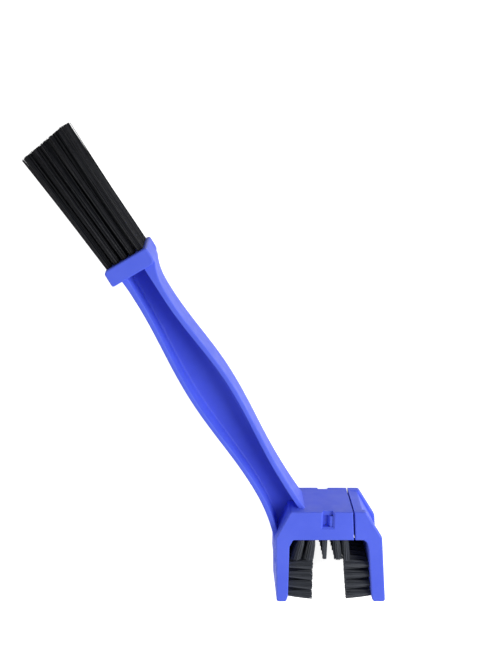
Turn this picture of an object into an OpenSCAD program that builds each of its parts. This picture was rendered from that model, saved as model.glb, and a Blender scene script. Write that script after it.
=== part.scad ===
// Hand brush for bicycle chains: a ribbed handle with a long brush at one end and,
// at the other, a U-shaped head lined with bristles whose right side slides off.
// It lies on its back. X runs across the head, Y from the head to the handle, Z up.
// The origin is at the closed end of the chain slot, on the resting face.

/* [Head] */
// Depth of the head, from the resting face to the front
head_depth = 30; // [27:1:36]
// Height of the crown bar above the chain slot
crown_h = 13; // [12.6:0.2:16]
// Width between the two legs at the slot's closed end
slot_w = 34.3; // [32:0.5:40]
// Length of the legs below the crown
leg_len = 28.9; // [27:0.1:34]
// Thickness of the left leg under the crown
leg_t = 6; // [5.6:0.2:8]
// How far the left leg's outer side draws in down to its tip
leg_draft = 0.8; // [0.6:0.1:1.4]
// How far the right leg splays outward down to its tip
jaw_splay = 2.4; // [1.6:0.2:3.2]
// Thickness of the right leg under the crown
jaw_leg_t = 6; // [5.2:0.2:7.2]
// Slope across the top left corner, width
left_slope_w = 6.1; // [5:0.5:8]
// Slope across the top left corner, height
left_slope_h = 12; // [10.5:0.1:12.3]
// Slope across the top right corner, width
right_slope_w = 7.5; // [6:0.5:8]
// Slope across the top right corner, height
right_slope_h = 12; // [10:0.1:12.3]

/* [Side jaw] */
// Distance from the slot's middle to the seam of the jaw
seam_x = 10.75; // [10.25:0.25:12]
// How far the seam leans over the crown's height
seam_lean = 0.8; // [0:0.1:1.2]
// Open gap along the seam
seam_gap = 0.65; // [0.4:0.05:1]
// Length of the jaw's tongue inside the crown
tongue_len = 15.5; // [14.5:0.5:17]
// Depth of the hollow in the jaw's outer side
hollow_d = 1.7; // [1:0.1:2]
// Thickness of the plates in front of and behind that hollow
rim_plate_t = 4; // [3:0.5:5]

/* [Latch] */
// Wall of the crown in front of and behind the pocket
pocket_wall = 3; // [2.6:0.2:3.6]
// Roof of the crown over the pocket
pocket_roof = 2; // [1.6:0.2:2.6]
// Width of the latch window
window_w = 4.5; // [4:0.25:5.5]
// Thickness of a latch finger
finger_t = 1.8; // [1.4:0.1:2.2]
// Free room behind a finger, for its bending
finger_room = 2.4; // [2.3:0.1:2.8]
// Height of the catch on a finger
catch_h = 2.2; // [1.6:0.1:2.3]
// Free play between sliding faces
play = 0.15; // [0.1:0.01:0.25]

/* [Handle] */
// Length of the handle, from the slot's end to the collar
handle_len = 136.6; // [120:0.2:150]
// Tilt of the handle away from the head's middle line, in degrees
handle_tilt = 31; // [28:1:33]
// Sideways place of the handle's foot
handle_x = -12.1; // [-12.6:0.1:-11.6]
// Half width at the waist, left side
waist_left = 6.6; // [6:0.2:8]
// Half width at the waist, right side
waist_right = 7.5; // [6.5:0.5:8.5]
// Half width at the belly, left side
belly_left = 9.4; // [8.6:0.2:11]
// Half width at the belly, right side
belly_right = 9.6; // [8.6:0.2:11]
// Half width at the neck, left side
neck_left = 6.9; // [6.3:0.1:7.5]
// Half width at the neck, right side
neck_right = 6; // [5.6:0.1:7]
// Depth of the handle at its foot
foot_depth = 20; // [18:0.5:22]
// Depth of the handle at the collar
neck_depth = 24; // [22:0.5:26]
// Thickness of the rims at the belly
rim_t = 1.9; // [1.8:0.1:2.6]
// How much thicker the rims are at both ends
rim_gain = 0.6; // [0.2:0.1:1]
// Thickness of the web between the two channels
web_t = 2.6; // [2.2:0.2:4]

/* [Collar] */
// Height of the collar along the handle
collar_h = 7.3; // [7:0.1:9]
// Reach of the collar to the left of the handle's middle
collar_left = 11.3; // [11:0.1:12.5]
// Reach of the collar to the right of the handle's middle
collar_right = 9.3; // [9.1:0.1:10.5]

/* [Bristles] */
// Length of the crown bristles
crown_bristle = 10; // [8.5:0.5:10.5]
// Free reach of the wall bristles
wall_bristle = 10.6; // [9:0.1:11]
// Length of the long brush at its middle
tail_bristle = 56.7; // [45:0.1:70]
// Spread of the long brush at its tip, against its root
tail_fan_share = 1.2; // [1.1:0.02:1.4]
// How far the long brush leans to the left at its tip
tail_lean = 3.7; // [2:0.1:6]
// Difference in length across the long brush's tip
tail_slant = 2.7; // [1:0.1:4]
// Radius of the bristle holes
hole_r = 1.35; // [1.2:0.05:1.4]
// Depth of the holes in the crown
crown_hole = 4; // [3.4:0.1:4.2]
// Depth of the holes in the legs
leg_hole = 2.8; // [2.4:0.1:3]
// Depth of the holes in the collar
collar_hole = 4.5; // [4:0.1:5]

/* [Hidden] */
$fn = 32;
blue = [0.35, 0.4, 0.95];
black = [0.12, 0.12, 0.14];
steel = [0.75, 0.76, 0.78];

// Overrun of every cut past the face that it opens
cut = 1;
mid_z = head_depth / 2;

// Head outline: the corners that both halves share
slot_half = slot_w / 2;
leg_outer = -slot_half - leg_t;
jaw_outer = slot_half + jaw_leg_t;
left_corner = [leg_outer + left_slope_w, crown_h];
right_corner = [jaw_outer - right_slope_w, crown_h];
inner_corner_w = 1.5;
inner_corner_h = 3.1;
jaw_corner_w = 2.1;
jaw_corner_h = 4.2;
jaw_tip_w = 5.2;
tip_h = 2.5;
tip_inset = 0.7;
tip_w = 3.8;
inner_draft = 0.2;
jaw_tip_inset = 1.1;
jaw_corner_steps = 4;
back_corner = 1.3;
hollow_end_share = 0.12;
function seam(y) = seam_x + seam_lean * (0.5 - y / crown_h);
function leg_inner(y) = -slot_half - inner_draft * -y / leg_len;
function jaw_inner(y) = slot_half + jaw_splay * -y / leg_len;

// Tongue, pocket and latch: the pocket is cut for the tongue with the play around it
pocket_floor = 1.6;
pocket_low = crown_hole + pocket_floor;
pocket_high = crown_h - pocket_roof;
pocket_end = seam_x - tongue_len - play;
finger_root_inset = 2.9;
finger_root = seam_x - finger_root_inset;
window_inset = 9.2;
window_right = seam_x - window_inset;
window_left = window_right - window_w;
window_sill = 0.4;
recess_d = 2.2;
window_bevel = 0.8;
window_edge = 0.4;
catch_w = 2.2;
catch_ramp = 1.1;
catch_foot = 2.4;
tongue_front = head_depth - pocket_wall - play;

// Handle: places along it as shares of its length
left_shares = [0.227, 0.578, 0.922];
right_shares = [0.215, 0.54, 0.893];
foot_y = 2.25;
foot_flare_left = 5.9;
foot_flare_right = 1.7;
foot_power = 2.2;
neck_flare_left = 0.4;
neck_flare_right = 3;
neck_power = 2.6;
scoop_power = 16;
stations = 26;
scoop_steps = 8;
toe_drop = 12.2;
toe_taper = 3.6;
toe_out = 0.2;
collar_slope = 1.1;
collar_top_in = 1.2;
collar_corner = 1.5;

// Bristle rows and columns
depth_rows = 6;
depth_margin = 3.75;
depth_pitch = (head_depth - 2 * depth_margin) / (depth_rows - 1);
tail_columns = 5;
tail_margin_left = 2.7;
tail_margin_right = 2.95;
tail_first = -collar_left + tail_margin_left;
tail_last = collar_right - tail_margin_right;
tail_pitch = (tail_last - tail_first) / (tail_columns - 1);
tail_middle = (tail_first + tail_last) / 2;
crown_columns = 5;
crown_margin_left = 5.75;
crown_margin_right = 3.35;
crown_first = -slot_half + crown_margin_left;
crown_span = seam_x - crown_margin_right - crown_first;
crown_column_shares = [0, 0.24, 0.53, 0.79, 1];
function crown_x(i) = crown_first + crown_span * crown_column_shares[i];
crown_middle = crown_first + crown_span / 2;
crown_fan_share = 1.3;
wall_rows = 4;
wall_first_gap = 2.9;
wall_tip_margin = 2.5;
wall_first = crown_bristle + wall_first_gap;
wall_last = leg_len - wall_tip_margin;
wall_pitch = (wall_last - wall_first) / (wall_rows - 1);
wall_fan_share = 1.045;

// Tufts: a root that fills its hole, strands in a ring, and a flat wire anchor under it
hole_sides = 8;
root_play = 0.03;
tail_strands = 6;
crown_strands = 3;
wall_strands = 4;
ring_r = 0.8;
ring_turn = 45;
strand_r = 0.36;
strand_sink = 0.8;
spread_share = 2;
taper_share = 0.7;
tail_depth_share = 1.1;
anchor_t = 0.45;
anchor_w = 2.2;
anchor_h = 1.3;

function ease(t) = (1 - cos(180 * t)) / 2;
function blend(a, b, t) = a + (b - a) * ease(t);
function depth_z(i) = depth_margin + i * depth_pitch;

// Half width of the handle at a place along it: foot, waist, belly, neck, collar
function profile(y, places, waist, belly, neck, foot_flare, neck_flare) =
    y < places[0] ? waist + foot_flare * pow((places[0] - y) / places[0], foot_power)
    : y < places[1] ? blend(waist, belly, (y - places[0]) / (places[1] - places[0]))
    : y < places[2] ? blend(belly, neck, (y - places[1]) / (places[2] - places[1]))
    : neck + neck_flare * pow((y - places[2]) / (handle_len - places[2]), neck_power);
function left_half(y, neck_flare) = profile(y, handle_len * left_shares,
    waist_left, belly_left, neck_left, foot_flare_left, neck_flare);
function right_half(y, neck_flare) = profile(y, handle_len * right_shares,
    waist_right, belly_right, neck_right, foot_flare_right, neck_flare);
function rim(y) = rim_t + rim_gain * pow(2 * y / handle_len - 1, 2);
function half_depth(y) = (foot_depth + (neck_depth - foot_depth) * y / handle_len) / 2;

// One scooped channel across the section: its floor is the web, its sides the rims.
// It doesn't widen with the neck's flare.
function scoop(y, side) =
    let (l = -left_half(y, 0) + rim(y), r = right_half(y, 0) - rim(y), top = half_depth(y))
    [for (k = [0 : scoop_steps])
        let (s = cos(180 * k / scoop_steps) * side)
        [(l + r) / 2 + s * (r - l) / 2,
            side * (web_t / 2 + (top - web_t / 2) * pow(abs(s), scoop_power))]];

// Section of the handle, as points [across, height over the web's middle]
function section(y) =
    let (l = left_half(y, neck_flare_left), r = right_half(y, neck_flare_right),
        top = half_depth(y))
    concat([[r, top]], scoop(y, 1), [[-l, top], [-l, -top]], scoop(y, -1), [[r, -top]]);

// Closed skin over equal rings of points, whose ends are strips between facing points
module skin(rings) {
    n = len(rings[0]);
    last = (len(rings) - 1) * n;
    strips = [0 : n / 2 - 2];
    polyhedron(points = [for (ring = rings) each ring], faces = concat(
        [for (k = strips) [k + 1, k, n - 1 - k]],
        [for (k = strips) [k + 1, n - 1 - k, n - 2 - k]],
        [for (k = strips) [last + k, last + k + 1, last + n - 1 - k]],
        [for (k = strips) [last + k + 1, last + n - 2 - k, last + n - 1 - k]],
        [for (i = [0 : len(rings) - 2]) for (j = [0 : n - 1])
            [i * n + j, i * n + (j + 1) % n, (i + 1) * n + (j + 1) % n]],
        [for (i = [0 : len(rings) - 2]) for (j = [0 : n - 1])
            [i * n + j, (i + 1) * n + (j + 1) % n, (i + 1) * n + j]]));
}

// Places a child drawn along the handle: X across it, Y towards the collar
module along_handle() {
    translate([handle_x, 0, 0]) rotate([0, 0, handle_tilt]) children();
}

module handle_beam() {
    end_y = handle_len + collar_h / 4;
    along_handle() skin([for (i = [0 : stations])
        let (y = foot_y + (end_y - foot_y) * i / stations)
        [for (p = section(min(y, handle_len))) [p[0], y, mid_z + p[1]]]]);
}

// Outer flange running out along the left leg
module handle_toe() {
    low = mid_z - half_depth(0);
    translate([0, 0, low]) linear_extrude(2 * half_depth(0)) polygon([
        [leg_outer - toe_out, 0],
        [leg_outer - toe_out, -toe_drop],
        [leg_outer + leg_draft, -toe_drop - toe_taper],
        [-slot_half - leg_t / 2, -toe_drop - toe_taper],
        [-slot_half - leg_t / 2, crown_h / 4]]);
}

module collar() {
    top = handle_len + collar_h;
    along_handle() linear_extrude(head_depth) polygon([
        [-collar_left, handle_len], [collar_right - collar_corner, handle_len],
        [collar_right, handle_len + collar_corner],
        [collar_right, top], [collar_top_in - collar_left, top],
        [-collar_left, top - collar_slope]]);
}

module fixed_head() {
    linear_extrude(head_depth) polygon([
        left_corner,
        [leg_outer, crown_h - left_slope_h],
        [leg_outer + leg_draft, -leg_len + tip_h / 2],
        [-slot_half - inner_draft - tip_inset - tip_w, -leg_len],
        [-slot_half - inner_draft - tip_inset, -leg_len],
        [leg_inner(tip_h - leg_len), tip_h - leg_len],
        [-slot_half, -inner_corner_h],
        [inner_corner_w - slot_half, 0],
        [seam(0) - seam_gap / 2, 0],
        [seam(crown_h) - seam_gap / 2, crown_h]]);
}

// A row of holes through the depth, opened along the children's own Z
module depth_row() {
    for (i = [0 : depth_rows - 1]) translate([0, 0, depth_z(i)]) children();
}
module facing_right() { rotate([0, 90, 0]) children(); }
module facing_left() { rotate([0, -90, 0]) children(); }
module facing_down() { rotate([90, 0, 0]) children(); }
module facing_up() { rotate([-90, 0, 0]) children(); }
module hole(depth) {
    translate([0, 0, -depth]) cylinder(r = hole_r, h = depth + cut, $fn = hole_sides);
}

// Places of the tufts: their roots' centres, where the bristles leave the plastic
module tail_place(i) {
    along_handle() translate([tail_first + i * tail_pitch, handle_len + collar_h, 0])
        depth_row() facing_up() children();
}
module crown_place(i) {
    translate([crown_x(i), 0, 0]) depth_row() facing_down() children();
}
module leg_place(i) {
    y = -wall_first - i * wall_pitch;
    translate([leg_inner(y), y, 0]) depth_row() facing_right() children();
}
module jaw_place(i) {
    y = -wall_first - i * wall_pitch;
    translate([jaw_inner(y), y, 0]) depth_row() facing_left() children();
}

// Window in one wall of the crown, under a recess that runs out at the top, with a
// bevelled edge
module window() {
    high = crown_h + cut;
    low = pocket_low + window_sill;
    translate([window_left, low, head_depth - pocket_wall - cut])
        cube([window_w, pocket_high - low, pocket_wall + 2 * cut]);
    translate([window_left, low, head_depth - recess_d])
        cube([window_w, high - low, recess_d + cut]);
    hull() {
        translate([window_left, low, head_depth - window_bevel])
            cube([window_w, high - low, window_edge]);
        translate([window_left - window_bevel, low - window_bevel, head_depth])
            cube([window_w + 2 * window_bevel, high - low + window_bevel, window_edge]);
    }
}
module both_faces() {
    children();
    translate([0, 0, head_depth]) mirror([0, 0, 1]) children();
}

module handle_body() {
    color(blue) difference() {
        union() {
            handle_beam();
            handle_toe();
            collar();
            fixed_head();
        }
        for (i = [0 : tail_columns - 1]) tail_place(i) hole(collar_hole);
        for (i = [0 : crown_columns - 1]) crown_place(i) hole(crown_hole);
        for (i = [0 : wall_rows - 1]) leg_place(i) hole(leg_hole);
        translate([pocket_end, pocket_low, pocket_wall])
            cube([tongue_len + 2 * cut, pocket_high - pocket_low,
                head_depth - 2 * pocket_wall]);
        both_faces() window();
        translate([seam(crown_h / 2) - seam_gap / 2, crown_h / 2, 0]) rotate([0, 45, 0])
            cube([back_corner, crown_h + 2 * cut, back_corner], center = true);
    }
}

// Outer corners of the jaw, from the top plate down to the leg's tip
jaw_top = right_corner;
jaw_side = [jaw_outer, crown_h - right_slope_h];
jaw_foot = [jaw_outer + jaw_splay, -leg_len];

module jaw_outline() {
    polygon(concat([
        [seam(crown_h) + seam_gap / 2, crown_h], jaw_top, jaw_side, jaw_foot,
        [jaw_foot[0] - jaw_tip_w, -leg_len],
        [jaw_inner(tip_h - leg_len) + jaw_tip_inset / 4, tip_h / 2 - leg_len],
        [jaw_inner(2 * tip_h - leg_len), 2 * tip_h - leg_len]],
        [for (a = [0 : 90 / jaw_corner_steps : 90])
            [slot_half - jaw_corner_w * (1 - cos(a)), -jaw_corner_h * (1 - sin(a))]],
        [[seam(0) + seam_gap / 2, 0]]));
}

// Hollow between the jaw's front and back plates
module jaw_hollow() {
    in = [-hollow_d, 0];
    out = [cut, 0];
    top = jaw_top + (jaw_side - jaw_top) * hollow_end_share;
    low = jaw_foot + (jaw_side - jaw_foot) * hollow_end_share;
    translate([0, 0, rim_plate_t]) linear_extrude(head_depth - 2 * rim_plate_t)
        polygon([top + out, top, jaw_side + in, low + in, low + out, jaw_side + out]);
}

module tongue() {
    low = pocket_wall + play;
    room = finger_t + finger_room;
    translate([seam_x - tongue_len, pocket_low + play, low + room])
        cube([tongue_len + seam_gap + cut, pocket_high - pocket_low - 2 * play,
            head_depth - 2 * (low + room)]);
    translate([finger_root, pocket_low + play, low])
        cube([seam_x + seam_gap + cut - finger_root, pocket_high - pocket_low - 2 * play,
            head_depth - 2 * low]);
}

module side_jaw() {
    color(blue) difference() {
        union() {
            linear_extrude(head_depth) jaw_outline();
            tongue();
        }
        jaw_hollow();
        for (i = [0 : wall_rows - 1]) jaw_place(i) hole(leg_hole);
    }
}

// Springy finger beside the tongue, whose catch stands in the crown's window
module latch_finger() {
    right = window_right - play;
    left = right - catch_w;
    high = pocket_high - play;
    middle = tongue_front - finger_t / 2;
    color(blue) translate([0, high, 0]) rotate([90, 0, 0]) {
        linear_extrude(high - pocket_low - play) polygon([
            [finger_root, tongue_front], [left - catch_foot, tongue_front],
            [left - catch_foot, tongue_front - finger_t],
            [finger_root, tongue_front - finger_t]]);
        linear_extrude(high - pocket_low - window_sill - play) polygon([
            [right, middle], [right, tongue_front + catch_h],
            [left + catch_ramp, tongue_front + catch_h], [left, tongue_front],
            [left, middle]]);
    }
}
module front_latch_finger() { latch_finger(); }
module back_latch_finger() {
    translate([0, 0, head_depth]) mirror([0, 0, 1]) latch_finger();
}

// One strand: three sides, from inside the root to a thinner tip
module strand(root, tip) {
    length = tip[2];
    lean = ([tip[0], tip[1]] - root) / length;
    start = root - lean * strand_sink;
    corners = [for (a = [0, 120, 240]) [cos(a), sin(a)]];
    polyhedron(points = concat(
        [for (c = corners) concat(start + strand_r * c, [-strand_sink])],
        [for (c = corners)
            concat([tip[0], tip[1]] + strand_r * taper_share * c, [length])]),
        faces = [[0, 1, 2], [5, 4, 3], [0, 4, 1], [0, 3, 4], [1, 5, 2], [1, 4, 5],
            [2, 3, 0], [2, 5, 3]]);
}

// A tuft whose tip lies off its root by a shift, cut along a slanted tip line
module tuft(count, length, depth, shift, slant) {
    root_h = depth - anchor_h - root_play;
    translate([0, 0, -root_h])
        cylinder(r = hole_r - root_play, h = root_h, $fn = hole_sides);
    for (i = [0 : count - 1]) {
        turn = 360 * i / count + ring_turn;
        root = ring_r * [cos(turn), sin(turn)];
        tip = shift + spread_share * root;
        strand(root, concat(tip, [length + slant * tip[0]]));
    }
}

// Flat wire anchor across the bottom of a hole
module anchor(depth) {
    translate([-anchor_t / 2, -anchor_w / 2, -depth]) cube([anchor_t, anchor_w, anchor_h]);
}

module tail_column(i) {
    x = tail_first + i * tail_pitch - tail_middle;
    slope = tail_slant / ((tail_last - tail_first) * tail_fan_share);
    for_depth = tail_depth_share - 1;
    color(black) along_handle()
        translate([tail_middle + x, handle_len + collar_h, 0])
            for (k = [0 : depth_rows - 1]) translate([0, 0, depth_z(k)]) facing_up()
                tuft(tail_strands, tail_bristle + slope * x * tail_fan_share, collar_hole,
                    [x * (tail_fan_share - 1) - tail_lean, -(depth_z(k) - mid_z) * for_depth],
                    slope / 2);
}

module crown_column(i) {
    x = crown_x(i) - crown_middle;
    color(black) crown_place(i)
        tuft(crown_strands, crown_bristle, crown_hole, [x * (crown_fan_share - 1), 0], 0);
}
module leg_row(i) {
    color(black) leg_place(i) tuft(wall_strands, wall_bristle, leg_hole,
        [0, -i * wall_pitch * (wall_fan_share - 1)], 0);
}
module jaw_row(i) {
    color(black) jaw_place(i) tuft(wall_strands, wall_bristle, leg_hole,
        [0, -i * wall_pitch * (wall_fan_share - 1)], 0);
}

module tail_anchors() {
    color(steel) for (i = [0 : tail_columns - 1]) tail_place(i) anchor(collar_hole);
}
module crown_anchors() {
    color(steel) for (i = [0 : crown_columns - 1]) crown_place(i) anchor(crown_hole);
}
module leg_anchors() {
    color(steel) for (i = [0 : wall_rows - 1]) leg_place(i) anchor(leg_hole);
}
module jaw_anchors() {
    color(steel) for (i = [0 : wall_rows - 1]) jaw_place(i) anchor(leg_hole);
}

echo(strands = depth_rows * (tail_columns * tail_strands + crown_columns * crown_strands
    + 2 * wall_rows * wall_strands));

handle_body();
side_jaw();
front_latch_finger();
back_latch_finger();
tail_column(0);  // tail_tufts_1
tail_column(1);  // tail_tufts_2
tail_column(2);  // tail_tufts_3
tail_column(3);  // tail_tufts_4
tail_column(4);  // tail_tufts_5
crown_column(0);  // crown_tufts_1
crown_column(1);  // crown_tufts_2
crown_column(2);  // crown_tufts_3
crown_column(3);  // crown_tufts_4
crown_column(4);  // crown_tufts_5
leg_row(0);  // leg_tufts_1
leg_row(1);  // leg_tufts_2
leg_row(2);  // leg_tufts_3
leg_row(3);  // leg_tufts_4
jaw_row(0);  // jaw_tufts_1
jaw_row(1);  // jaw_tufts_2
jaw_row(2);  // jaw_tufts_3
jaw_row(3);  // jaw_tufts_4
tail_anchors();
crown_anchors();
leg_anchors();
jaw_anchors();
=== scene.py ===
import math
import random

import bmesh
import bpy
from mathutils import Matrix, Vector


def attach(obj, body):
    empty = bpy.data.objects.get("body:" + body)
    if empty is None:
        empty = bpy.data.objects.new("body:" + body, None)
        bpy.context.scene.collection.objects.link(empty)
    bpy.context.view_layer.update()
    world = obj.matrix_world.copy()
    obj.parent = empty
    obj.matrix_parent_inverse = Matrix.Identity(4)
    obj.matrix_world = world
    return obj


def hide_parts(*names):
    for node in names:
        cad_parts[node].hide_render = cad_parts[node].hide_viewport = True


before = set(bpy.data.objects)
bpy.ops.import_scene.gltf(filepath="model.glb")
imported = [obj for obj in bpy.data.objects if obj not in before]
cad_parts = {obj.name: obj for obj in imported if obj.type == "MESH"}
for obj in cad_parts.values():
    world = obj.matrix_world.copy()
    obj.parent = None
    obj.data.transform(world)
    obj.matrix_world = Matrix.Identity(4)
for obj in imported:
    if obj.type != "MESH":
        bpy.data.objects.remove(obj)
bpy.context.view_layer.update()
random.seed(24)

# Sizes of the object are in millimetres, in its own frame, and become metres in mesh_object()
MM = 0.001

# Head: crown bar, the two legs and the slot between them
HEAD_DEPTH = 30
MID_Z = HEAD_DEPTH / 2
CROWN_H = 13
SLOT_HALF = 17.15
LEG_LEN = 28.9
LEG_T = 6
LEG_OUTER = -SLOT_HALF - LEG_T
LEG_DRAFT = 0.8
INNER_DRAFT = 0.2
INNER_CORNER_W = 1.5
INNER_CORNER_H = 3.1
TIP_H = 2.5
TIP_INSET = 0.9
JAW_OUTER = SLOT_HALF + LEG_T
JAW_SPLAY = 2.4
JAW_CORNER_W = 2.1
JAW_CORNER_H = 4.2
JAW_CORNER_OUT = 0.2
JAW_CORNER_MIDDLE = (0.62, 1.23)
JAW_TIP_W = 5.2
JAW_TIP_INSET = 0.28
SLOPE_H = 12
LEFT_SLOPE_W = 6.1
RIGHT_SLOPE_W = 7.5
EDGE_R = 0.7

# Side jaw and latch: seam, pocket with its windows, tongue, and the room of the fingers
SEAM_X = 10.75
SEAM_LEAN = 0.8
SEAM_HALF_GAP = 0.325
PLAY = 0.15
POCKET_LOW = 5.6
POCKET_HIGH = 11
POCKET_WALL = 3
POCKET_END = -4.9
WINDOW = (-2.95, 1.55)
WINDOW_SILL = 6
WINDOW_BEVEL = 0.8
RECESS_D = 2.2
TONGUE_LEN = 15.5
TONGUE_EDGE_R = 0.3
SHOULDER_EDGE_R = 0.2
FINGER_ROOM = 4.2
FINGER_ROOT = 7.85
HOLLOW_D = 1.7
RIM_PLATE_T = 4

# Handle: its middle line, and the sizes of its section
HANDLE_LEN = 136.6
HANDLE_TILT = math.radians(31)
HANDLE_X = -12.1
FOOT_Y = 2.25
BEAM_SINK = 1.8
FOOT_DEPTH = 20
NECK_DEPTH = 24
WEB_HALF = 1.3
RIM_T = 1.9
RIM_GAIN = 0.6
RIM_ROUND = 0.8
SCOOP_ROUND = 0.5
SCOOP_POWER = 16

# Each side of the handle: the places of waist, belly and neck, their half widths, and how far
# the foot flares; then how far each side flares at the neck, and the powers of both flares
LEFT_SIDE = (31, 79, 125.9), 6.6, 9.4, 6.9, 5.9
RIGHT_SIDE = (29.4, 73.8, 122), 7.5, 9.6, 6, 1.7
LEFT_NECK_FLARE = 0.4
RIGHT_NECK_FLARE = 3
FOOT_POWER = 2.2
NECK_POWER = 2.6

# Toe of the handle on the left leg, and the collar
TOE_OUT = 0.2
TOE_TOP = 3.2
TOE_LOW = -12.2
TOE_END = -15.8
COLLAR_TOP = HANDLE_LEN + 7.3
COLLAR_LEFT = -11.3
COLLAR_RIGHT = 9.3
COLLAR_TOP_IN = 1.2
COLLAR_SLOPE = 1.1
COLLAR_EDGE_R = 0.75

# Bristle holes: their places through the depth, across collar and crown, and down the legs
HOLE_R = 1.35
ROW_PITCH = 4.5
DEPTH_MARGIN = 3.75
TAIL_FIRST = -8.6
TAIL_PITCH = 3.7375
CROWN_FIRST = -11.4
CROWN_SPAN = 18.8
CROWN_SHARES = (0, 0.24, 0.53, 0.79, 1)
WALL_FIRST = -12.9
DEPTH_ROWS = [DEPTH_MARGIN + ROW_PITCH * i for i in range(6)]
TAIL_COLUMNS = [TAIL_FIRST + TAIL_PITCH * i for i in range(5)]
CROWN_COLUMNS = [CROWN_FIRST + CROWN_SPAN * share for share in CROWN_SHARES]
WALL_ROWS = [WALL_FIRST - ROW_PITCH * i for i in range(4)]
COLLAR_HOLE = 4.5
CROWN_HOLE = 4
LEG_HOLE = 2.8
ROOT_SINK = 1.2

# Long brush: its length, the slant of its cut, its lean at the tip, and how its columns and
# rows drift apart; then the tip's width, and a column's place there, as shares of the root's
TAIL_BRISTLE = 56.7
TAIL_SLANT = 2.7
TAIL_LEAN = 3.6
TAIL_FAN = 0.16
TAIL_FAN_POWER = 1.6
TAIL_DEPTH_FAN = 0.06
TAIL_TIP_SHARE = 1.2
TAIL_CUT_SHARE = 1.18

# Crown bristles: for each column its drift outward, and how much its tufts spread at the tip
CROWN_BRISTLE = 10
CROWN_FAN = (0.26, 0.26, 0.26, 0.22, 0.08)
CROWN_SPREAD = (0.95, 0.95, -0.35, 0.7, 0.6)
CROWN_SPREAD_POWER = (0.4, 0.4, 1, 0.5, 0.5)

# Bristles of the legs: the length in front and how much a millimetre further back takes off;
# the droop of each row against the one before it, the rise of the first row for a millimetre
# further back, and the spread at the tip
LEG_BRISTLE = 10.8
LEG_SHORTER = 0.02
JAW_BRISTLE = 11.3
JAW_SHORTER = 0.08
WALL_DROOP = 0.18
FIRST_ROW_RISE = 0.0625
WALL_SPREAD = 0.98
WALL_SPREAD_POWER = 0.8

# Filaments of a tuft: how many, their radius and segments, how far their ends wander, and the
# share by which their lengths vary
TAIL_FILAMENTS = dict(count=44, radius=0.18, segments=7, wave=0.35, ragged=0.008)
CROWN_FILAMENTS = dict(count=54, radius=0.2, segments=3, wave=0.08, ragged=0.008)
WALL_FILAMENTS = dict(count=42, radius=0.19, segments=3, wave=0.1, ragged=0.012)
FILAMENT_PLAY = 0.05
FILAMENT_TAPER = 0.25

# Overrun of a cut past the face that it opens, and of a form into the one that carries it
CUT = 1

# Cosines of the angles up to which faces count as one flat region, and as one smooth surface
FLAT = math.cos(math.radians(0.15))
CREASE = math.cos(math.radians(32))

# Largest share of an edge that one fillet takes, and the sharpest corner that an inset mitres
FILLET_SHARE = 0.48
MITER_LEAST = 0.4


# Outlines and meshes

def seam(y):
    """Place of the seam's middle at a height of the crown."""
    return SEAM_X + SEAM_LEAN * (0.5 - y / CROWN_H)


def leg_inner(y):
    """Place of the fixed leg's inner side at a height."""
    return -SLOT_HALF - INNER_DRAFT * -y / LEG_LEN


def jaw_inner(y):
    """Place of the jaw's inner side at a height."""
    return SLOT_HALF + JAW_SPLAY * -y / LEG_LEN


def fillet(corners, steps=5):
    """An outline from corners (x, y, radius): each one with a radius is rounded."""
    outline = []
    for i, (x, y, radius) in enumerate(corners):
        corner = Vector((x, y))
        if not radius:
            outline.append(corner)
            continue
        before = Vector(corners[i - 1][:2]) - corner
        after = Vector(corners[(i + 1) % len(corners)][:2]) - corner
        reach = radius / math.tan(before.angle(after) / 2)
        reach = min(reach, FILLET_SHARE * before.length, FILLET_SHARE * after.length)
        start = corner + before.normalized() * reach
        end = corner + after.normalized() * reach
        for k in range(steps + 1):
            t = k / steps
            outline.append(start * (1 - t) ** 2 + corner * 2 * t * (1 - t) + end * t ** 2)
    return outline


def turns_left(outline):
    """The outline, run anticlockwise."""
    area = sum(a.x * b.y - b.x * a.y for a, b in zip(outline, outline[1:] + outline[:1]))
    return outline if area > 0 else outline[::-1]


def inset(outline, distance):
    """The anticlockwise outline, drawn in by a distance, point for point."""
    drawn_in = []
    for i, point in enumerate(outline):
        a = (point - outline[i - 1]).normalized()
        b = (outline[(i + 1) % len(outline)] - point).normalized()
        normal_a, normal_b = Vector((-a.y, a.x)), Vector((-b.y, b.x))
        miter = (normal_a + normal_b) / max(MITER_LEAST, 1 + normal_a.dot(normal_b))
        drawn_in.append(point + miter * distance)
    return drawn_in


def mesh_object(name, points, faces):
    mesh = bpy.data.meshes.new(name)
    mesh.from_pydata([Vector(p) * MM for p in points], [], faces)
    mesh.update()
    obj = bpy.data.objects.new(name, mesh)
    bpy.context.scene.collection.objects.link(obj)
    return obj


def skin(name, rings):
    """A closed skin over rings of points, each ring anticlockwise seen from the last one."""
    n = len(rings[0])
    points = [p for ring in rings for p in ring]
    faces = [[i * n + j, i * n + (j + 1) % n, (i + 1) * n + (j + 1) % n, (i + 1) * n + j]
             for i in range(len(rings) - 1) for j in range(n)]
    faces.append(list(range(n))[::-1])
    faces.append([(len(rings) - 1) * n + j for j in range(n)])
    return mesh_object(name, points, faces)


def slab(name, outline, low, high, edge=0, steps=4):
    """An extruded outline from one height to another, whose edges are rounded."""
    outline = turns_left(outline)
    rings = []
    for k in range(steps + 1 if edge else 1):
        angle = math.pi / 2 * k / steps
        drawn_in = inset(outline, edge * (1 - math.sin(angle)))
        rings.append((drawn_in, edge * (1 - math.cos(angle))))
    layers = [[(p.x, p.y, low + up) for p in ring] for ring, up in rings]
    layers += [[(p.x, p.y, high - up) for p in ring] for ring, up in rings[::-1]]
    return skin(name, layers)


def box_outline(left, low, right, high):
    return [Vector(p) for p in ((left, low), (right, low), (right, high), (left, high))]


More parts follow.
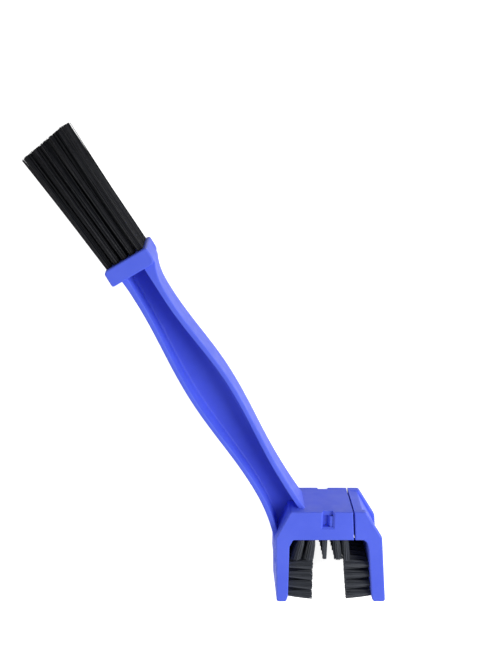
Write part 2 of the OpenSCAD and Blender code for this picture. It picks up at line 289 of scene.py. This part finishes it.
def join(objects):
    """One object from several, whose meshes stay apart."""
    points, faces = [], []
    for obj in objects:
        start = len(points)
        points += [v.co / MM for v in obj.data.vertices]
        faces += [[start + i for i in f.vertices] for f in obj.data.polygons]
        bpy.data.objects.remove(obj)
    return mesh_object("joined", points, faces)


def apply_modifiers(obj):
    graph = bpy.context.evaluated_depsgraph_get()
    mesh = bpy.data.meshes.new_from_object(obj.evaluated_get(graph))
    obj.modifiers.clear()
    obj.data = mesh


def combine(obj, operation, *tools):
    """Unites obj with other closed meshes, or cuts them out of it."""
    for tool in tools:
        modifier = obj.modifiers.new(operation, "BOOLEAN")
        modifier.operation = operation
        modifier.solver = "MANIFOLD"
        modifier.object = tool
    apply_modifiers(obj)
    for tool in tools:
        bpy.data.objects.remove(tool)
    return obj


def flat_areas(mesh):
    """For each face, the area of the flat region that it is part of."""
    areas = {}
    for seed in mesh.faces:
        if seed in areas:
            continue
        region, queue = {seed}, [seed]
        while queue:
            face = queue.pop()
            for edge in face.edges:
                for other in edge.link_faces:
                    if (other not in areas and other not in region
                            and other.normal.dot(face.normal) > FLAT):
                        region.add(other)
                        queue.append(other)
        total = sum(face.calc_area() for face in region)
        areas.update((face, total) for face in region)
    return areas


def smooth(obj):
    """Smooth shading that keeps flat faces flat and edges crisp past an angle: the faces that
    meet at a corner count by the area of the flat region that each is part of."""
    mesh = bmesh.new()
    mesh.from_mesh(obj.data)
    areas = flat_areas(mesh)
    normals = []
    for face in mesh.faces:
        for loop in face.loops:
            total = Vector()
            for other in loop.vert.link_faces:
                if other.normal.dot(face.normal) > CREASE:
                    total += other.normal * areas[other]
            normals.append(total.normalized() if total.length > 0 else face.normal.copy())
    mesh.to_mesh(obj.data)
    mesh.free()
    obj.data.shade_smooth()
    obj.data.normals_split_custom_set(normals)


# Places along the handle

def along_handle(x, y, z=0):
    """From a point across and along the tilted handle to the part's frame."""
    sin, cos = math.sin(HANDLE_TILT), math.cos(HANDLE_TILT)
    return Vector((HANDLE_X + x * cos - y * sin, x * sin + y * cos, z))


def ease(a, b, t):
    """From a to b, starting and ending gently."""
    return a + (b - a) * (1 - math.cos(math.pi * t)) / 2


def profile(y, places, waist, belly, neck, foot_flare, neck_flare):
    """Half width of one side of the handle at a place along it."""
    if y < places[0]:
        return waist + foot_flare * ((places[0] - y) / places[0]) ** FOOT_POWER
    if y < places[1]:
        return ease(waist, belly, (y - places[0]) / (places[1] - places[0]))
    if y < places[2]:
        return ease(belly, neck, (y - places[1]) / (places[2] - places[1]))
    return neck + neck_flare * ((y - places[2]) / (HANDLE_LEN - places[2])) ** NECK_POWER


def handle_section(y, steps=20):
    """Section of the handle: two rims, joined by a web, with a scooped channel on each side.
    The channels don't widen with the neck's flare."""
    left = -profile(y, *LEFT_SIDE, LEFT_NECK_FLARE)
    right = profile(y, *RIGHT_SIDE, RIGHT_NECK_FLARE)
    top = (FOOT_DEPTH + (NECK_DEPTH - FOOT_DEPTH) * y / HANDLE_LEN) / 2
    rim = RIM_T + RIM_GAIN * (2 * y / HANDLE_LEN - 1) ** 2
    inner_left = rim - profile(y, *LEFT_SIDE, 0)
    inner_right = profile(y, *RIGHT_SIDE, 0) - rim
    middle, half = (inner_left + inner_right) / 2, (inner_right - inner_left) / 2
    front = [(right, top, RIM_ROUND)]
    for k in range(steps + 1):
        s = math.cos(math.pi * k / steps)
        height = WEB_HALF + (top - WEB_HALF) * abs(s) ** SCOOP_POWER
        front.append((middle + s * half, height, SCOOP_ROUND if k in (0, steps) else 0))
    front.append((left, top, RIM_ROUND))
    return fillet(front + [(x, -z, r) for x, z, r in front[::-1]], steps=3)


def handle_beam(stations=64):
    """The handle, from inside the crown to inside the collar."""
    end = HANDLE_LEN + BEAM_SINK
    rings = []
    for i in range(stations + 1):
        y = FOOT_Y + (end - FOOT_Y) * i / stations
        section = handle_section(min(y, HANDLE_LEN))[::-1]
        rings.append([along_handle(p.x, y, MID_Z + p.y) for p in section])
    return skin("beam", rings)


def handle_toe():
    """The outer flange, running out along the left leg."""
    outer, inner = LEG_OUTER - TOE_OUT, LEG_OUTER + LEG_T / 2
    outline = fillet([
        (outer, 0, 0), (outer, TOE_LOW, 1.5), (LEG_OUTER + LEG_DRAFT, TOE_END, 0),
        (inner, TOE_END, 0), (inner, TOE_TOP, 0)])
    return slab("toe", outline, MID_Z - FOOT_DEPTH / 2, MID_Z + FOOT_DEPTH / 2, EDGE_R)


def collar():
    """The block at the handle's end that carries the long brush."""
    outline = fillet([
        (COLLAR_LEFT, HANDLE_LEN, 1.1), (COLLAR_RIGHT, HANDLE_LEN, 2.4),
        (COLLAR_RIGHT, COLLAR_TOP, 1.1), (COLLAR_LEFT + COLLAR_TOP_IN, COLLAR_TOP, 1.1),
        (COLLAR_LEFT, COLLAR_TOP - COLLAR_SLOPE, 1.1)])
    placed = [along_handle(p.x, p.y) for p in outline]
    return slab("collar", [p.to_2d() for p in placed], 0, HEAD_DEPTH, COLLAR_EDGE_R)


def fixed_head():
    """Crown bar up to the seam, and the left leg."""
    outline = fillet([
        (LEG_OUTER + LEFT_SLOPE_W, CROWN_H, 1.2), (LEG_OUTER, CROWN_H - SLOPE_H, 2.2),
        (LEG_OUTER + LEG_DRAFT, -LEG_LEN, 1.3), (-SLOT_HALF - TIP_INSET, -LEG_LEN, 1.2),
        (leg_inner(TIP_H - LEG_LEN), TIP_H - LEG_LEN, 2),
        (-SLOT_HALF, -INNER_CORNER_H, 2), (INNER_CORNER_W - SLOT_HALF, 0, 1.2),
        (seam(0) - SEAM_HALF_GAP, 0, 0), (seam(CROWN_H) - SEAM_HALF_GAP, CROWN_H, 0)])
    return slab("head", outline, 0, HEAD_DEPTH, EDGE_R)


# Holes, pocket and windows

def rod(centre, direction, low, high, radius, sides=20):
    """A round cutter along a direction, from one distance to another past its centre."""
    spin = Vector(direction).to_track_quat("Z", "Y").to_matrix()
    rings = []
    for height in (low, high):
        rings.append([Vector(centre) + spin @ Vector((
            radius * math.cos(math.tau * k / sides),
            radius * math.sin(math.tau * k / sides), height)) for k in range(sides)])
    return skin("rod", rings)


def tail_roots():
    """Where the long brush's tufts leave the collar, column by column; the others are alike."""
    return [[along_handle(x, COLLAR_TOP, z) for z in DEPTH_ROWS] for x in TAIL_COLUMNS]


def crown_roots():
    return [[Vector((x, 0, z)) for z in DEPTH_ROWS] for x in CROWN_COLUMNS]


def leg_roots():
    return [[Vector((leg_inner(y), y, z)) for z in DEPTH_ROWS] for y in WALL_ROWS]


def jaw_roots():
    return [[Vector((jaw_inner(y), y, z)) for z in DEPTH_ROWS] for y in WALL_ROWS]


UP_TAIL = along_handle(0, 1) - along_handle(0, 0)
DOWN, RIGHTWARD, LEFTWARD = Vector((0, -1, 0)), Vector((1, 0, 0)), Vector((-1, 0, 0))


def holes(groups):
    """Cutters for every bristle hole: groups of (roots, direction, depth)."""
    return join([rod(root, direction, -depth, CUT, HOLE_R)
                 for roots, direction, depth in groups for line in roots for root in line])


def window(front):
    """The latch window through one wall of the crown, and the recess with its border."""
    left, right = WINDOW
    high = CROWN_H + CUT

    def level(grow, depth):
        outline = box_outline(left - grow, WINDOW_SILL - grow, right + grow, high)
        z = HEAD_DEPTH - depth if front else depth
        return [(p.x, p.y, z) for p in outline]

    levels = [level(0, RECESS_D), level(0, WINDOW_BEVEL),
              level(WINDOW_BEVEL, 0), level(WINDOW_BEVEL, -CUT)]
    recess = skin("recess", levels if front else [ring[::-1] for ring in levels])
    through = slab("through", box_outline(left, WINDOW_SILL, right, POCKET_HIGH),
                   *((HEAD_DEPTH - POCKET_WALL - CUT, HEAD_DEPTH - CUT) if front
                     else (CUT, POCKET_WALL + CUT)))
    return recess, through


def handle_moulding():
    """Collar, handle and fixed part of the head, in one piece."""
    body = combine(fixed_head(), "UNION", handle_beam(), handle_toe(), collar())
    pocket = slab("pocket", box_outline(POCKET_END, POCKET_LOW, SEAM_X + CUT, POCKET_HIGH),
                  POCKET_WALL, HEAD_DEPTH - POCKET_WALL)
    return combine(body, "DIFFERENCE", pocket, *window(True), *window(False), holes([
        (tail_roots(), UP_TAIL, COLLAR_HOLE), (crown_roots(), DOWN, CROWN_HOLE),
        (leg_roots(), RIGHTWARD, LEG_HOLE)]))


def jaw_outline(hollow):
    """Outline of the jaw, drawn in on its outer side between the two plates."""
    top = (JAW_OUTER - RIGHT_SLOPE_W - hollow * 0.6, CROWN_H - hollow * 0.3)
    side = (JAW_OUTER - hollow, CROWN_H - SLOPE_H - hollow * 0.2)
    foot = (JAW_OUTER + JAW_SPLAY - hollow, -LEG_LEN)
    return fillet([
        (seam(CROWN_H) + SEAM_HALF_GAP, CROWN_H, 0), (*top, 1.2), (*side, 1.4), (*foot, 1.2),
        (JAW_OUTER + JAW_SPLAY - JAW_TIP_W, -LEG_LEN, 1.1),
        (jaw_inner(TIP_H - LEG_LEN) + JAW_TIP_INSET, TIP_H / 2 - LEG_LEN, 1.1),
        (jaw_inner(2 * TIP_H - LEG_LEN), 2 * TIP_H - LEG_LEN, 2),
        (SLOT_HALF + JAW_CORNER_OUT, -JAW_CORNER_H, 1.6),
        (SLOT_HALF - JAW_CORNER_MIDDLE[0], -JAW_CORNER_MIDDLE[1], 1.4),
        (SLOT_HALF - JAW_CORNER_W, 0, 1), (seam(0) + SEAM_HALF_GAP, 0, 0)])


def jaw_moulding():
    """The side jaw: two plates with a hollow core between them, and the tongue."""
    core = slab("core", jaw_outline(HOLLOW_D), CUT, HEAD_DEPTH - CUT)
    plates = [slab("plate", jaw_outline(0), low, low + RIM_PLATE_T, EDGE_R)
              for low in (0, HEAD_DEPTH - RIM_PLATE_T)]
    low = POCKET_WALL + PLAY
    high = HEAD_DEPTH - low

    def bar(left):
        return box_outline(left, POCKET_LOW + PLAY, SEAM_X + 2 * CUT, POCKET_HIGH - PLAY)

    tongue = slab("tongue", bar(SEAM_X - TONGUE_LEN), low + FINGER_ROOM, high - FINGER_ROOM,
                  TONGUE_EDGE_R)
    shoulder = slab("shoulder", bar(FINGER_ROOT), low, high, SHOULDER_EDGE_R)
    body = combine(core, "UNION", *plates, tongue, shoulder)
    return combine(body, "DIFFERENCE", holes([(jaw_roots(), LEFTWARD, LEG_HOLE)]))


# Bristles

def tuft_strands(count, radius):
    """Places of a tuft's strands in its hole, spread evenly from the middle out."""
    golden = math.pi * (3 - math.sqrt(5))
    return [(radius * math.sqrt((k + 0.5) / count), golden * k) for k in range(count)]


def strand_mesh(points, faces, line, radius, sides=4):
    """Adds one filament that follows a line of points."""
    start = len(points)
    spin = (line[-1] - line[0]).to_track_quat("Z", "Y").to_matrix()
    turn = random.uniform(0, math.tau)
    for i, centre in enumerate(line):
        size = radius * (1 - FILAMENT_TAPER * (i / (len(line) - 1)) ** 3)
        for k in range(sides):
            angle = turn + math.tau * k / sides
            points.append(centre + spin @ Vector((math.cos(angle), math.sin(angle), 0)) * size)
    for i in range(len(line) - 1):
        for k in range(sides):
            a, b = start + i * sides + k, start + i * sides + (k + 1) % sides
            faces.append([a, b, b + sides, a + sides])
    faces.append([start + k for k in range(sides)][::-1])
    faces.append([start + (len(line) - 1) * sides + k for k in range(sides)])


def brush(name, tufts, count, radius, segments, wave, ragged):
    """Tufts of filaments. A tuft is (root, direction, side, depth, length, path), and its
    path gives how far its middle is off the straight line, and its spread, at each share."""
    points, faces = [], []
    for root, direction, side, depth, length, path in tufts:
        across = direction.cross(side)
        for reach, angle in tuft_strands(count, HOLE_R - radius - FILAMENT_PLAY):
            u, v = reach * math.cos(angle), reach * math.sin(angle)
            bend_u, bend_v = random.gauss(0, wave), random.gauss(0, wave)
            end = 1 + random.uniform(-ragged, ragged)
            line = [root - direction * depth + side * u + across * v]
            for i in range(segments + 1):
                t = end * i / segments
                shift, spread = path(t)
                bow = t * t
                line.append(root + direction * (length(u * spread) * t)
                            + side * (u * spread + shift[0] + bend_u * bow)
                            + across * (v * spread + shift[1] + bend_v * bow))
            strand_mesh(points, faces, line, radius)
    return mesh_object(name, points, faces)


def tail_brush(i):
    """One column of the long brush, which fans out, leans and is cut on a slant."""
    middle = (TAIL_COLUMNS[0] + TAIL_COLUMNS[-1]) / 2
    across = TAIL_COLUMNS[i] - middle
    slope = TAIL_SLANT / (TAIL_COLUMNS[-1] - TAIL_COLUMNS[0]) / TAIL_TIP_SHARE
    side = along_handle(1, 0) - along_handle(0, 0)
    tufts = []
    for root in tail_roots()[i]:
        lift = (root.z - MID_Z) * TAIL_DEPTH_FAN

        def path(t, lift=lift):
            drift = across * TAIL_FAN * t ** TAIL_FAN_POWER - TAIL_LEAN * t
            return (drift, -lift * t), 1.2 + 0.37 * t ** 0.5

        def length(u):
            return TAIL_BRISTLE + slope * (across * TAIL_CUT_SHARE + u)

        tufts.append((root, UP_TAIL, side, ROOT_SINK, length, path))
    return brush("tail_bristles_%d" % (i + 1), tufts, **TAIL_FILAMENTS)


def crown_brush(i):
    """One column of the crown's tufts, which lean and spread by different amounts."""
    across = CROWN_COLUMNS[i] - CROWN_COLUMNS[2]

    def path(t):
        return (across * CROWN_FAN[i] * t, 0), 1 + CROWN_SPREAD[i] * t ** CROWN_SPREAD_POWER[i]

    tufts = []
    for root in crown_roots()[i]:
        tufts.append((root, DOWN, RIGHTWARD, ROOT_SINK, lambda u: CROWN_BRISTLE, path))
    return brush("crown_bristles_%d" % (i + 1), tufts, **CROWN_FILAMENTS)


def wall_brush(name, line, direction, i, length, shorter):
    """One row of a leg's tufts, which get shorter towards the resting face. The row next to
    the crown rises there."""
    tufts = []
    for root in line:
        behind = HEAD_DEPTH - root.z
        reach = length - shorter * behind
        lift = 0 if i else behind * FIRST_ROW_RISE

        def path(t, lift=lift):
            droop = WALL_DROOP * i * t - lift * t ** 0.5
            return (droop, 0), 1 + WALL_SPREAD * t ** WALL_SPREAD_POWER

        tufts.append((root, direction, DOWN, ROOT_SINK, lambda u, reach=reach: reach, path))
    return brush(name, tufts, **WALL_FILAMENTS)


# Materials

# Colours of the lowest and the highest tone
BLUE_TONES = (0.082, 0.13, 0.77), (0.1, 0.152, 0.83)
WIRE_TONES = (0.42, 0.43, 0.45), (0.56, 0.57, 0.6)
# Painted light: the short bristles are the same black nylon as the long ones, toned lighter to
# stand in for the light on the crown and leg rows
SHORT_TONES_PAINTED_LIGHT = (0.04, 0.045, 0.056), (0.089, 0.096, 0.114)
# Painted shade: the long bristles are toned far darker than the short ones, to stand in for the
# shade along the long brush
LONG_TONES_PAINTED_SHADE = (0.0018, 0.002, 0.0035), (0.006, 0.007, 0.012)

# Between these values lies nearly all of a noise
NOISE_LOW, NOISE_HIGH = 0.3, 0.7

# How bright the floor glows, and how much of that a reflection shows
FLOOR_GLOW = 0.85
MIRRORED_SHARE = 0.35


def new_material(name):
    material = bpy.data.materials.new(name)
    material.use_nodes = True
    tree = material.node_tree
    return material, tree, tree.nodes["Principled BSDF"]


def add_node(tree, kind, **inputs):
    node = tree.nodes.new(kind)
    for key, value in inputs.items():
        node.inputs[key.replace("_", " ")].default_value = value
    return node


def noise(tree, scale, detail, rough):
    """Noise in the object's own coordinates."""
    places = tree.nodes.new("ShaderNodeTexCoord")
    node = add_node(tree, "ShaderNodeTexNoise", Scale=scale, Detail=detail, Roughness=rough)
    tree.links.new(places.outputs["Object"], node.inputs["Vector"])
    return node.outputs["Fac"]


def ramp(tree, source, low, high):
    """Turns a grey value into a colour between two others."""
    node = tree.nodes.new("ShaderNodeValToRGB")
    node.color_ramp.elements[0].position = NOISE_LOW
    node.color_ramp.elements[0].color = (*low, 1)
    node.color_ramp.elements[1].position = NOISE_HIGH
    node.color_ramp.elements[1].color = (*high, 1)
    tree.links.new(source, node.inputs["Fac"])
    return node.outputs["Color"]


def span(tree, source, low, high):
    """Turns a grey value into a number between two others."""
    node = tree.nodes.new("ShaderNodeMapRange")
    node.inputs["From Min"].default_value = NOISE_LOW
    node.inputs["From Max"].default_value = NOISE_HIGH
    node.inputs["To Min"].default_value = low
    node.inputs["To Max"].default_value = high
    tree.links.new(source, node.inputs["Value"])
    return node.outputs["Result"]


def bump(tree, source, strength, distance, under=None):
    """Dents from a grey value, laid over other ones."""
    node = add_node(tree, "ShaderNodeBump", Strength=strength, Distance=distance)
    tree.links.new(source, node.inputs["Height"])
    if under:
        tree.links.new(under, node.inputs["Normal"])
    return node.outputs["Normal"]


def blue_plastic():
    """Satin moulded plastic, with a fine grain over faint ripples."""
    material, tree, shader = new_material("blue_plastic")
    flow = noise(tree, scale=45, detail=4, rough=0.6)
    grain = noise(tree, scale=2600, detail=2, rough=0.6)
    ripple = noise(tree, scale=260, detail=2, rough=0.4)
    tree.links.new(ramp(tree, flow, *BLUE_TONES), shader.inputs["Base Color"])
    tree.links.new(span(tree, ripple, low=0.42, high=0.54), shader.inputs["Roughness"])
    dents = bump(tree, ripple, strength=0.12, distance=0.0002)
    grained = bump(tree, grain, strength=0.16, distance=0.00004, under=dents)
    tree.links.new(grained, shader.inputs["Normal"])
    shader.inputs["IOR"].default_value = 1.49
    shader.inputs["Specular IOR Level"].default_value = 0.3
    shader.inputs["Subsurface Weight"].default_value = 0.06
    shader.inputs["Subsurface Scale"].default_value = 0.002
    shader.inputs["Subsurface Radius"].default_value = (0.3, 0.4, 1)
    return material


def black_bristle(name, low, high):
    """Nylon whose tone differs a little from one filament to the next."""
    material, tree, shader = new_material(name)
    island = tree.nodes.new("ShaderNodeNewGeometry").outputs["Random Per Island"]
    tone = tree.nodes.new("ShaderNodeValToRGB")
    tone.color_ramp.elements[0].color = (*low, 1)
    tone.color_ramp.elements[1].color = (*high, 1)
    tree.links.new(island, tone.inputs["Fac"])
    tree.links.new(tone.outputs["Color"], shader.inputs["Base Color"])
    streak = noise(tree, scale=900, detail=2, rough=0.5)
    tree.links.new(span(tree, streak, low=0.42, high=0.6), shader.inputs["Roughness"])
    dents = bump(tree, streak, strength=0.15, distance=0.00003)
    tree.links.new(dents, shader.inputs["Normal"])
    shader.inputs["IOR"].default_value = 1.53
    shader.inputs["Specular IOR Level"].default_value = 0.25
    return material


def anchor_wire():
    material, tree, shader = new_material("anchor_wire")
    drawn = noise(tree, scale=1500, detail=3, rough=0.6)
    tree.links.new(ramp(tree, drawn, *WIRE_TONES), shader.inputs["Base Color"])
    tree.links.new(span(tree, drawn, low=0.28, high=0.45), shader.inputs["Roughness"])
    shader.inputs["Metallic"].default_value = 1
    return material


def floor_material():
    """A pale floor that shows white to the camera and, more weakly, in reflections."""
    material, tree, shader = new_material("floor")
    shader.inputs["Base Color"].default_value = (0.8, 0.8, 0.8, 1)
    shader.inputs["Roughness"].default_value = 0.9
    glow = add_node(tree, "ShaderNodeEmission", Strength=FLOOR_GLOW)
    dark = add_node(tree, "ShaderNodeEmission", Strength=0)
    seen = tree.nodes.new("ShaderNodeLightPath")
    either = tree.nodes.new("ShaderNodeMath")
    either.operation = "MAXIMUM"
    tree.links.new(seen.outputs["Is Camera Ray"], either.inputs[0])
    mirrored = tree.nodes.new("ShaderNodeMath")
    mirrored.operation = "MULTIPLY"
    mirrored.inputs[1].default_value = MIRRORED_SHARE
    tree.links.new(seen.outputs["Is Glossy Ray"], mirrored.inputs[0])
    tree.links.new(mirrored.outputs[0], either.inputs[1])
    choose = tree.nodes.new("ShaderNodeMixShader")
    tree.links.new(either.outputs[0], choose.inputs[0])
    tree.links.new(dark.outputs[0], choose.inputs[1])
    tree.links.new(glow.outputs[0], choose.inputs[2])
    both = tree.nodes.new("ShaderNodeAddShader")
    tree.links.new(shader.outputs[0], both.inputs[0])
    tree.links.new(choose.outputs[0], both.inputs[1])
    tree.links.new(both.outputs[0], tree.nodes["Material Output"].inputs["Surface"])
    return material


# Stage

# The photograph's camera: its place in millimetres, and its own axes
SENSOR_W = 36
LENS = 66.98
CAMERA_PLACE = (-51.89, 212.5, 512.5)
CAMERA_RIGHT = (0.9996, 0.0118, 0.0267)
CAMERA_UP = (-0.0052, 0.9725, -0.2329)

# Lamps, in metres: where they stand, their size and power, and what they point at
KEY_LAMP = dict(place=(0.55, 0.14, 0.5), size=0.65, power=6.1)
FILL_LAMP = dict(place=(-0.6, -0.27, 0.4), size=0.5, power=2.1)
LAMP_TARGET = (-0.04, 0.08, 0)

# How much light the world gives, against what the camera sees of it
WORLD_LEVEL = 0.3

# Half the floor's width, in millimetres
FLOOR_HALF = 3000


def make_camera():
    data = bpy.data.cameras.new("camera")
    data.sensor_width = SENSOR_W
    data.lens = LENS
    camera = bpy.data.objects.new("camera", data)
    bpy.context.scene.collection.objects.link(camera)
    right, up = Vector(CAMERA_RIGHT), Vector(CAMERA_UP)
    back = right.cross(up).normalized()
    axes = Matrix((right.normalized(), up.normalized(), back)).transposed().to_4x4()
    camera.matrix_world = Matrix.Translation(Vector(CAMERA_PLACE) * MM) @ axes
    bpy.context.scene.camera = camera


def lamp(name, place, size, power):
    data = bpy.data.lights.new(name, "AREA")
    data.shape = "DISK"
    data.size = size
    data.energy = power
    obj = bpy.data.objects.new(name, data)
    obj.location = place
    aim = Vector(LAMP_TARGET) - Vector(place)
    obj.rotation_euler = aim.to_track_quat("-Z", "Y").to_euler()
    bpy.context.scene.collection.objects.link(obj)


def make_stage():
    """Two soft lamps, an even world that the camera sees as white, and the floor."""
    lamp("key", **KEY_LAMP)
    lamp("fill", **FILL_LAMP)
    world = bpy.data.worlds.new("world")
    bpy.context.scene.world = world
    world.use_nodes = True
    sky = world.node_tree.nodes["Background"]
    sky.inputs["Color"].default_value = (1, 1, 1, 1)
    seen = world.node_tree.nodes.new("ShaderNodeLightPath")
    level = world.node_tree.nodes.new("ShaderNodeMath")
    level.operation = "MULTIPLY_ADD"
    level.inputs[1].default_value = 1 - WORLD_LEVEL
    level.inputs[2].default_value = WORLD_LEVEL
    world.node_tree.links.new(seen.outputs["Is Camera Ray"], level.inputs[0])
    world.node_tree.links.new(level.outputs[0], sky.inputs["Strength"])
    corners = box_outline(-FLOOR_HALF, -FLOOR_HALF, FLOOR_HALF, FLOOR_HALF)
    floor = mesh_object("floor", [(p.x, p.y, 0) for p in corners], [[0, 1, 2, 3]])
    floor.data.materials.append(floor_material())
    bpy.context.scene.view_settings.view_transform = "Standard"


# The object

def dress(obj, name, body, slot, material, *nodes):
    """Names a piece and hands it to the frame, in place of its solids."""
    obj.name = name
    obj.data.name = name
    obj.data.materials.clear()
    obj.data.materials.append(material)
    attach(obj, body)
    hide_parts(*nodes)


make_camera()
make_stage()
BLUE, WIRE = blue_plastic(), anchor_wire()
# Lit and shaded copies of one black nylon: the short bristles' material carries painted light
SHORT_BLACK_PAINTED_LIGHT = black_bristle("short_bristle_painted_light", *SHORT_TONES_PAINTED_LIGHT)
# The long bristles' material carries painted shade
LONG_BLACK_PAINTED_SHADE = black_bristle("long_bristle_painted_shade", *LONG_TONES_PAINTED_SHADE)

moulding = handle_moulding()
smooth(moulding)
dress(moulding, "handle_moulding", "handle", "blue_plastic", BLUE, "handle_body")
jaw = jaw_moulding()
smooth(jaw)
dress(jaw, "jaw_moulding", "jaw", "blue_plastic", BLUE, "side_jaw")

for i in range(len(TAIL_COLUMNS)):
    dress(tail_brush(i), "tail_bristles_%d" % (i + 1), "handle", "black_bristle", LONG_BLACK_PAINTED_SHADE,
          "tail_tufts_%d" % (i + 1))
for i in range(len(CROWN_COLUMNS)):
    dress(crown_brush(i), "crown_bristles_%d" % (i + 1), "handle", "black_bristle",
          SHORT_BLACK_PAINTED_LIGHT, "crown_tufts_%d" % (i + 1))
for i in range(len(WALL_ROWS)):
    dress(wall_brush("leg", leg_roots()[i], RIGHTWARD, i, LEG_BRISTLE, LEG_SHORTER),
          "leg_bristles_%d" % (i + 1), "handle", "black_bristle", SHORT_BLACK_PAINTED_LIGHT,
          "leg_tufts_%d" % (i + 1))
    dress(wall_brush("jaw", jaw_roots()[i], LEFTWARD, i, JAW_BRISTLE, JAW_SHORTER),
          "jaw_bristles_%d" % (i + 1), "jaw", "black_bristle", SHORT_BLACK_PAINTED_LIGHT,
          "jaw_tufts_%d" % (i + 1))

# The solids that still show: latch fingers and anchors
for name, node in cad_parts.items():
    if node.hide_render:
        continue
    node.data.materials.clear()
    node.data.materials.append(WIRE if name.endswith("anchors") else BLUE)
